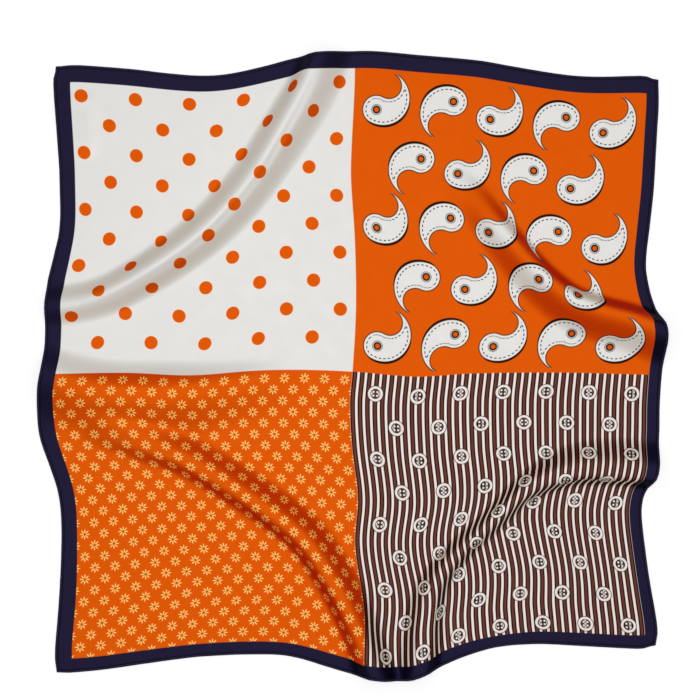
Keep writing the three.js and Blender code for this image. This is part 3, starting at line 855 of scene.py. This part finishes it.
def paisley_quarter(chart, x, y):
    place_x, place_y, whole = paisley_place(chart, x, y)
    shape = comma(chart, place_x, place_y)
    shadow = comma(chart, chart.minus(place_x, PAISLEY["shadow"]), chart.plus(place_y, PAISLEY["shadow"]))
    around = chart.sum("MINIMUM", chart.minus(shape, PAISLEY["outline"]), shadow)
    drawn = chart.mix(ORANGE, PAISLEY_INK, chart.both(chart.inside(around), whole))
    drawn = chart.mix(drawn, WHITE, chart.both(chart.inside(shape), whole))
    turn = chart.sum("ARCTAN2", place_y, place_x)
    beat = chart.sum("SINE", chart.times(turn, float(PAISLEY["dashes"])))
    dash = chart.sum("GREATER_THAN", beat, PAISLEY["dash_from"])
    line = chart.minus(chart.sum("ABSOLUTE", chart.plus(shape, PAISLEY["dash_in"])), PAISLEY["dash_width"])
    drawn = chart.mix(drawn, PAISLEY_INK, chart.both(chart.both(chart.inside(line, FINE_EDGE), dash), whole))
    for radius, ink in EYE_RINGS:
        eye = chart.inside(chart.ring(place_x, place_y, 0.0, -PAISLEY["head"], radius))
        drawn = chart.mix(drawn, ink, chart.both(eye, whole))
    return drawn


print("paisleys:", 4 * PAISLEY["head"], "mm long,", len(EYE_RINGS), "rings in the eye")

# %% [markdown]
# ## The whole print
#
# The quarters meet along two straight lines on the cloth, and the navy border frames them. A
# square cut into four colours could also be four pieces of mesh, but the scarf is one piece of
# silk, and a formula keeps every line crisp however the cloth is folded.

# %% Quarters and border
def box_share(chart, x, y, x_range, y_range, edge):
    """1 within a box, fading over its edge."""
    off = []
    for at, (low, high) in ((x, x_range), (y, y_range)):
        from_middle = chart.sum("ABSOLUTE", chart.minus(at, (low + high) / 2))
        off.append(chart.minus(from_middle, (high - low) / 2))
    return chart.inside(chart.sum("MAXIMUM", *off), edge)


def printed_colour(chart, x, y):
    """Colour of the print at a place on the cloth, in millimetres from its lower left corner."""
    right = chart.inside(chart.minus(CROSS[0], x))
    upper = chart.inside(chart.minus(CROSS[1], y))
    left_half = chart.mix(daisy_quarter(chart, x, y), dot_quarter(chart, x, y), upper)
    right_half = chart.mix(stripe_quarter(chart, x, y), paisley_quarter(chart, x, y), upper)
    field = chart.mix(left_half, right_half, right)
    across = (BORDER["left"], SQUARE - BORDER["right"])
    up = (BORDER["bottom"], SQUARE - BORDER["top"])
    return chart.mix(NAVY, field, box_share(chart, x, y, across, up, INK_EDGE))


print("border:", min(BORDER.values()), "to", max(BORDER.values()), "mm wide")

# %% [markdown]
# ## Painted shade on slopes
#
# Painted shade: where silk turns away from the light, its colour is painted deeper and a little
# warmer, so the orange goes red in the folds and not only dark, as light that bounces about between
# the threads would make it. A Gamma node makes the colour deeper with the slope, which comes from the
# cloth's own normal and so is the same from every side. Pale silk, known by its share of blue, gets
# the least of this painted shade, and so do dots with white around them.

# %% Painted shade on slopes
# How far the painted shade on slopes deepens and warms the colour.
PAINTED_SHADE_DEPTH = 1.2
PAINTED_SHADE_PALE = 1.4
PAINTED_SHADE_AMONG_WHITE = 0.75
PAINTED_SHADE_TINT = colour(255, 249, 239)
PAINTED_SHADE_TINT_SHARE = 2.5


def painted_slope_shade(chart, base, x, y):
    """Painted shade: the colour made deeper by a Gamma node, and a little warmer, with the cloth's slope."""
    place = chart.tree.nodes.new("ShaderNodeTexCoord")
    facing = chart.tree.nodes.new("ShaderNodeSeparateXYZ")
    chart.tree.links.new(place.outputs["Normal"], facing.inputs[0])
    slope = chart.minus(1.0, chart.sum("ABSOLUTE", facing.outputs[2]))
    split = chart.tree.nodes.new("ShaderNodeSeparateColor")
    chart.put(split.inputs[0], base)
    painted_shade_strength = chart.sum("MULTIPLY_ADD", split.outputs[2], -PAINTED_SHADE_PALE, 1.0, clamp=True)
    among_white = chart.both(chart.inside(chart.minus(x, CROSS[0])), chart.inside(chart.minus(CROSS[1], y)))
    painted_shade_strength = chart.times(painted_shade_strength, chart.minus(1.0, chart.times(among_white, PAINTED_SHADE_AMONG_WHITE)))
    painted_shade_node = chart.tree.nodes.new("ShaderNodeGamma")
    chart.put(painted_shade_node.inputs[0], base)
    chart.put(painted_shade_node.inputs[1], chart.plus(1.0, chart.times(chart.times(slope, painted_shade_strength), PAINTED_SHADE_DEPTH)))
    share = chart.sum("MULTIPLY", slope, PAINTED_SHADE_TINT_SHARE, clamp=True)
    return chart.mix(painted_shade_node.outputs[0], PAINTED_SHADE_TINT, share, "MULTIPLY")


print("gamma where orange silk stands upright:", 1 + PAINTED_SHADE_DEPTH)

# %% [markdown]
# ## Silk
#
# Silk twill is smooth, and its face shines softly where it faces the light. A little metal in
# the shader gives that shine the print's own colour, as silk does. The twill's slanting ribs are
# less than a millimetre apart, so they are bump and not mesh. The back has the same print,
# paler. A faint grey is painted as shade where the label lies under the white silk.

# %% Printed silk
TWILL_PITCH = 0.9
TWILL_DEPTH = 0.02
TWILL_STRENGTH = 0.6
CLOUD = {"scale": 38.0, "detail": 5.0, "shade": 0.05, "roughness": 0.12, "height": 2.0}
PALE_BACK = colour(232, 226, 220)
# Painted shade: a faint grey painted over the silk where the label lies under it.
PAINTED_SHADE_GREY = colour(120, 116, 112)
LABEL_PAINTED_SHADE = {"x": (20.0, 36.0), "down": (50.0, 84.0), "edge": 1.5, "shade": 0.04}


def painted_label_shade(chart, base, x, y):
    """Painted shade: a faint grey painted on the silk where the label lies under it."""
    down = LABEL_PAINTED_SHADE["down"]
    up = (SQUARE - down[1], SQUARE - down[0])
    painted_shade_box = box_share(chart, x, y, LABEL_PAINTED_SHADE["x"], up, LABEL_PAINTED_SHADE["edge"])
    return chart.mix(base, PAINTED_SHADE_GREY, chart.times(painted_shade_box, LABEL_PAINTED_SHADE["shade"]))


def clouded(chart, base, cloud):
    """The print a little darker here and there."""
    shade = chart.plus(chart.times(cloud, CLOUD["shade"]), 1 - CLOUD["shade"])
    grey = chart.tree.nodes.new("ShaderNodeCombineColor")
    for socket in grey.inputs[:3]:
        chart.put(socket, shade)
    return chart.mix(base, grey.outputs[0], 1.0, "MULTIPLY")


def twill(chart, x, y, cloud):
    """Slanting ribs, with a few thicker threads among them."""
    rib = chart.sum("SINE", chart.times(chart.plus(x, y), 2 * math.pi / TWILL_PITCH))
    height = chart.plus(rib, chart.times(cloud, CLOUD["height"]))
    return chart.bump(height, TWILL_DEPTH, TWILL_STRENGTH)


def silk_material(name, paler, roughness, shine):
    material = bpy.data.materials.new(name)
    material.use_nodes = True
    chart = Chart(material.node_tree)
    shader = material.node_tree.nodes["Principled BSDF"]
    weave = material.node_tree.nodes.new("ShaderNodeUVMap")
    weave.uv_map = "weave"
    split = material.node_tree.nodes.new("ShaderNodeSeparateXYZ")
    chart.put(split.inputs[0], weave.outputs[0])
    x = chart.times(split.outputs[0], SQUARE)
    y = chart.times(split.outputs[1], SQUARE)
    cloud = chart.cloud(weave.outputs[0], CLOUD["scale"], CLOUD["detail"])
    # A faint grey of painted shade where the label lies under the silk.
    base = painted_label_shade(chart, printed_colour(chart, x, y), x, y)
    base = chart.mix(clouded(chart, base, cloud), PALE_BACK, paler)
    # Painted shade on slopes deepens the print's colour.
    chart.put(shader.inputs["Base Color"], painted_slope_shade(chart, base, x, y))
    chart.put(shader.inputs["Normal"], twill(chart, x, y, cloud))
    least = roughness - CLOUD["roughness"] / 2
    chart.put(shader.inputs["Roughness"], chart.plus(chart.times(cloud, CLOUD["roughness"]), least))
    shader.inputs["Metallic"].default_value = shine
    shader.inputs["Specular IOR Level"].default_value = 0.02
    shader.inputs["Sheen Weight"].default_value = 0.015
    shader.inputs["Sheen Roughness"].default_value = 0.4
    return material


cloth.data.materials.append(silk_material("printed silk face", paler=0.0, roughness=0.6, shine=0.22))
cloth.data.materials.append(silk_material("printed silk back", paler=0.22, roughness=0.7, shine=0.2))
print("silk face:", len(cloth.data.materials[0].node_tree.nodes), "nodes")

# %% [markdown]
# ## The hems' paths
#
# A silk square is finished by rolling its edge between finger and thumb and whip stitching the
# roll. The roll follows the outline in plan and the folds in height, so its middle line comes
# from the same functions as the cloth. A Curve modifier can then lay straight pieces along it.

# %% Path along each side
ROLL_HEIGHT = 2.0
ROLL_OVERRUN = 1.1
ROLL_LIFT = 0.1


def hem_path(name):
    """The middle of a side's roll in metres, a little past the corners."""
    side = SIDES[name]
    plan = edge_point(side, np.linspace(0, 1, 320), HEM_WIDTH / 2)
    first = plan[0] + (plan[0] - plan[1]) / np.linalg.norm(plan[1] - plan[0]) * ROLL_OVERRUN
    last = plan[-1] + (plan[-1] - plan[-2]) / np.linalg.norm(plan[-1] - plan[-2]) * ROLL_OVERRUN
    plan = np.vstack([first, plan, last])
    height = cloth_height(plan[:, 0], plan[:, 1]) + ROLL_HEIGHT / 2 + ROLL_LIFT
    return np.column_stack([plan - MIDDLE, height]) * MM


def path_curve(name, points):
    """A poly curve, kept upright, for pieces to be laid along."""
    data = bpy.data.curves.new(name, "CURVE")
    data.dimensions = "3D"
    data.twist_mode = "Z_UP"
    spline = data.splines.new("POLY")
    spline.points.add(len(points) - 1)
    spline.points.foreach_set("co", np.column_stack([points, np.ones(len(points))]).ravel())
    curve = bpy.data.objects.new(name, data)
    bpy.context.scene.collection.objects.link(curve)
    return curve


def lay_along(piece, curve):
    bend = piece.modifiers.new("along the edge", "CURVE")
    bend.object = curve
    bend.deform_axis = "POS_X"


HEM_PATHS = {name: hem_path(name) for name in SIDES}
HEM_LENGTHS = {name: float(np.linalg.norm(np.diff(points, axis=0), axis=1).sum())
               for name, points in HEM_PATHS.items()}
print("hems in mm:", {name: round(length / MM) for name, length in HEM_LENGTHS.items()})

# %% [markdown]
# ## Rolled hems
#
# Each roll starts as a cylinder as long as its side. In edit mode it is flattened and cut into
# short lengths, so that it can bend. A little displacement makes it uneven, as a hand-made roll
# is, and the Curve modifier lays it along the edge.

# %% One rolled hem
ROLL_WIDTH = 2.7
ROLL_SIDES = 12
ROLL_STEP = 2.5
ROLL_UNEVEN = 0.25
ROLL_LUMP = 6.0


def uneven_texture():
    texture = bpy.data.textures.new("hand rolled", "CLOUDS")
    texture.noise_scale = ROLL_LUMP * MM
    return texture


def cut_into_lengths(roll, length):
    """Cut the cylinder across, by dividing the edges that run its whole length."""
    for edge in roll.data.edges:
        a, b = (roll.data.vertices[v].co.x for v in edge.vertices)
        edge.select = abs(a - b) > length / 2
    bpy.ops.object.mode_set(mode="EDIT")
    bpy.ops.mesh.subdivide(number_cuts=round(length / MM / ROLL_STEP))
    bpy.ops.mesh.select_all(action="SELECT")
    bpy.ops.mesh.normals_make_consistent(inside=False)
    bpy.ops.object.mode_set(mode="OBJECT")


def make_roll(name, curve, length, texture):
    bpy.ops.object.select_all(action="DESELECT")
    bpy.ops.mesh.primitive_cylinder_add(vertices=ROLL_SIDES, radius=0.5, depth=length,
                                        location=(length / 2, 0, 0), rotation=(0, math.pi / 2, 0))
    bpy.ops.object.transform_apply(location=True, rotation=True, scale=True)
    roll = bpy.context.active_object
    roll.name = f"rolled_hem_{name}"
    bpy.ops.object.mode_set(mode="EDIT")
    bpy.ops.mesh.select_mode(type="EDGE")
    bpy.ops.mesh.select_all(action="SELECT")
    bpy.ops.transform.resize(value=(1, ROLL_WIDTH * MM, ROLL_HEIGHT * MM))
    bpy.ops.mesh.select_all(action="DESELECT")
    bpy.ops.object.mode_set(mode="OBJECT")
    cut_into_lengths(roll, length)
    uneven = roll.modifiers.new("uneven", "DISPLACE")
    uneven.texture = texture
    uneven.strength = ROLL_UNEVEN * MM
    uneven.mid_level = 0.5
    lay_along(roll, curve)
    apply_modifiers(roll)
    bpy.ops.object.shade_smooth_by_angle(angle=math.radians(50))
    return roll


print("roll:", ROLL_WIDTH, "by", ROLL_HEIGHT, "mm")

# %% [markdown]
# ## Whip stitches
#
# Along the roll's inner side the stitches show as short slanting threads, about five
# millimetres apart. One stitch is a stretched sphere with few faces. An Array modifier repeats
# it and the same Curve modifier lays the row along the hem.

# %% Whip stitches
STITCH_PITCH = 5.0
STITCH_LENGTH = 2.4
STITCH_WIDTH = 0.5
STITCH_SLANT = math.radians(32)
STITCH_TILT = math.radians(38)
STITCH_INWARD = 0.75
STITCH_SINK = 0.25


def make_stitches(name, curve, length):
    inward = -1 if SIDES[name].outward > 0 else 1
    bpy.ops.object.select_all(action="DESELECT")
    bpy.ops.mesh.primitive_uv_sphere_add(segments=6, ring_count=4, radius=0.5, location=(0, 0, 0))
    stitch = bpy.context.active_object
    stitch.name = f"hem_stitches_{name}"
    stitch.scale = (STITCH_WIDTH * MM, STITCH_LENGTH * MM, STITCH_WIDTH * MM)
    stitch.rotation_euler = (inward * -STITCH_TILT, 0, STITCH_SLANT)
    stitch.location = (STITCH_PITCH * MM, inward * STITCH_INWARD * MM, (ROLL_HEIGHT / 2 - STITCH_SINK) * MM)
    bpy.ops.object.transform_apply(location=True, rotation=True, scale=True)
    row = stitch.modifiers.new("row", "ARRAY")
    row.count = int(length / MM / STITCH_PITCH) - 1
    row.use_relative_offset = False
    row.use_constant_offset = True
    row.constant_offset_displace = (STITCH_PITCH * MM, 0, 0)
    lay_along(stitch, curve)
    apply_modifiers(stitch)
    bpy.ops.object.shade_smooth()
    return stitch


print("one stitch:", STITCH_LENGTH, "by", STITCH_WIDTH, "mm, every", STITCH_PITCH, "mm")

# %% [markdown]
# ## Plain silk for hems, thread and label
#
# The rolls show the border's navy, darker because the cloth turns under. Thread and ribbon are
# silk too, so one recipe serves all three: fine ribs as bump, a soft cloud of lighter silk, and
# a little sheen. These pieces have no weave map, so the recipe reads Object coordinates.

# %% Plain silk
# A wave texture makes this many radians of turn for one unit of its coordinate times its scale.
WAVE_TURN = 20.0
RIB_DEPTH = 0.05
RIB_STRENGTH = 0.7
RIB_WANDER = 0.6
PLAIN_CLOUD = {"scale": 90.0, "detail": 4.0, "roughness": 0.2}
LIGHTER = {"times": 1.6, "plus": 0.004}


def ribs(chart, place, pitch, angle):
    """Ribs this many millimetres apart, turned by an angle."""
    turn = chart.tree.nodes.new("ShaderNodeMapping")
    turn.inputs["Rotation"].default_value = (0, 0, angle)
    chart.put(turn.inputs[0], place)
    wave = chart.tree.nodes.new("ShaderNodeTexWave")
    wave.inputs["Scale"].default_value = 2 * math.pi / WAVE_TURN / (pitch * MM)
    wave.inputs["Distortion"].default_value = RIB_WANDER
    chart.put(wave.inputs["Vector"], turn.outputs[0])
    return wave.outputs[1]


def plain_silk(name, base, roughness, rib_pitch, rib_angle):
    material = bpy.data.materials.new(name)
    material.use_nodes = True
    chart = Chart(material.node_tree)
    shader = material.node_tree.nodes["Principled BSDF"]
    place = material.node_tree.nodes.new("ShaderNodeTexCoord").outputs["Object"]
    cloud = chart.cloud(place, PLAIN_CLOUD["scale"], PLAIN_CLOUD["detail"])
    lighter = [min(1.0, light * LIGHTER["times"] + LIGHTER["plus"]) for light in base[:3]]
    chart.put(shader.inputs["Base Color"], chart.mix(base, (*lighter, 1.0), cloud))
    height = chart.plus(ribs(chart, place, rib_pitch, rib_angle), cloud)
    chart.put(shader.inputs["Normal"], chart.bump(height, RIB_DEPTH, RIB_STRENGTH))
    least = roughness - PLAIN_CLOUD["roughness"] / 2
    chart.put(shader.inputs["Roughness"], chart.plus(chart.times(cloud, PLAIN_CLOUD["roughness"]), least))
    shader.inputs["Specular IOR Level"].default_value = 0.05
    shader.inputs["Sheen Weight"].default_value = 0.015
    return material


HEM_NAVY = colour(25, 21, 43)
THREAD_NAVY = colour(34, 30, 56)
hem_silk = plain_silk("navy silk hem", HEM_NAVY, 0.5, rib_pitch=1.885, rib_angle=math.radians(45))
thread_silk = plain_silk("navy silk thread", THREAD_NAVY, 0.4, rib_pitch=0.942, rib_angle=math.radians(20))
print("plain silks:", hem_silk.name, "and", thread_silk.name)

# %% [markdown]
# ## Laying the hems
#
# Each side gets its own path. The roll and the row of stitches are both laid along it while it
# is there, and it is taken away once their modifiers are applied, because nothing shows of it.

# %% The four hems
texture = uneven_texture()
rolls = {}
stitches = {}
for name in SIDES:
    curve = path_curve(f"path_{name}", HEM_PATHS[name])
    rolls[name] = make_roll(name, curve, HEM_LENGTHS[name], texture)
    stitches[name] = make_stitches(name, curve, HEM_LENGTHS[name])
    rolls[name].data.materials.append(hem_silk)
    stitches[name].data.materials.append(thread_silk)
    bpy.data.objects.remove(curve)
    faces = len(rolls[name].data.polygons) + len(stitches[name].data.polygons)
    print(name, "hem with its stitches:", faces, "faces")

# %% [markdown]
# ## The label
#
# A folded satin ribbon is caught in the left hem, under the cloth. From above it shows only as a
# faint grey painted as shade on the white silk, but it is really there, so the underside has it. It
# is left blank. It takes its place and width from the packed solid: a cube is flattened to the
# ribbon's thickness, and a bevel in edit mode rounds its edges.

# %% Satin label
LABEL_THICKNESS = 0.5
LABEL_FLOOR = 0.1
LABEL_ROUNDING = 0.15


def make_label():
    low, high = (np.array(corner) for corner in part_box("care_label"))
    middle = (low + high) / 2
    middle[2] = (LABEL_FLOOR + LABEL_THICKNESS / 2) * MM
    bpy.ops.object.select_all(action="DESELECT")
    bpy.ops.mesh.primitive_cube_add(size=1, location=tuple(middle))
    label = bpy.context.active_object
    label.name = "satin_label"
    label.scale = (high[0] - low[0], high[1] - low[1], LABEL_THICKNESS * MM)
    bpy.ops.object.transform_apply(location=True, rotation=True, scale=True)
    bpy.ops.object.mode_set(mode="EDIT")
    bpy.ops.mesh.select_all(action="SELECT")
    bpy.ops.mesh.bevel(offset=LABEL_ROUNDING * MM, segments=2)
    bpy.ops.object.mode_set(mode="OBJECT")
    bpy.ops.object.shade_smooth_by_angle(angle=math.radians(40))
    return label


label = make_label()
RIBBON_WHITE = colour(236, 233, 226)
ribbon = plain_silk("white satin ribbon", RIBBON_WHITE, 0.35, rib_pitch=1.571, rib_angle=0.0)
label.data.materials.append(ribbon)
print("label:", np.round(np.array(label.dimensions) / MM, 1), "mm")

# %% [markdown]
# ## Floor and light
#
# The photograph is lit from around the camera: level cloth is brightest, and every slope turns
# away from the light and darkens, whichever way it faces. One broad lamp above the camera does
# that. Dim light from all round keeps the darkest flanks readable.

# %% Pale floor and overhead light
FLOOR_SIZE = 6.0
FLOOR_GREY = 0.97
LAMP_PLACE = (0, 0.1, 4.5)
LAMP_SIZE = 1.8
LAMP_POWER = 161.0
LAMP_COLOUR = (0.98, 1.0, 1.035)
AMBIENT_COLOUR = (1.0, 0.92, 0.82, 1)
AMBIENT = 0.32


def make_floor():
    bpy.ops.object.select_all(action="DESELECT")
    bpy.ops.mesh.primitive_plane_add(size=FLOOR_SIZE, location=(0, 0, 0))
    floor = bpy.context.active_object
    floor.name = "floor"
    material = bpy.data.materials.new("pale floor")
    material.use_nodes = True
    shader = material.node_tree.nodes["Principled BSDF"]
    shader.inputs["Base Color"].default_value = (FLOOR_GREY, FLOOR_GREY, FLOOR_GREY, 1)
    shader.inputs["Roughness"].default_value = 0.9
    floor.data.materials.append(material)
    return floor


def light_scene():
    bpy.ops.object.light_add(type="AREA", location=LAMP_PLACE)
    lamp = bpy.context.active_object
    lamp.data.shape = "DISK"
    lamp.data.size = LAMP_SIZE
    lamp.data.energy = LAMP_POWER
    lamp.data.color = LAMP_COLOUR
    world = bpy.data.worlds.new("studio")
    world.use_nodes = True
    background = world.node_tree.nodes["Background"]
    background.inputs["Color"].default_value = AMBIENT_COLOUR
    background.inputs["Strength"].default_value = AMBIENT
    bpy.context.scene.world = world
    bpy.context.scene.view_settings.view_transform = "Standard"
    return lamp


floor = make_floor()
lamp = light_scene()
print("lamp:", lamp.data.energy, "W over", round(lamp.data.size, 2), "m")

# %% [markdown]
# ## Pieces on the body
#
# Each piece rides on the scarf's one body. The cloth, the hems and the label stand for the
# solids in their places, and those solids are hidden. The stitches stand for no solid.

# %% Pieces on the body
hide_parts("panel")
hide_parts("care_label")
for name in SIDES:
    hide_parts(f"hem_{name}")
for piece in [cloth, label, *rolls.values(), *stitches.values()]:
    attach(piece, "root")
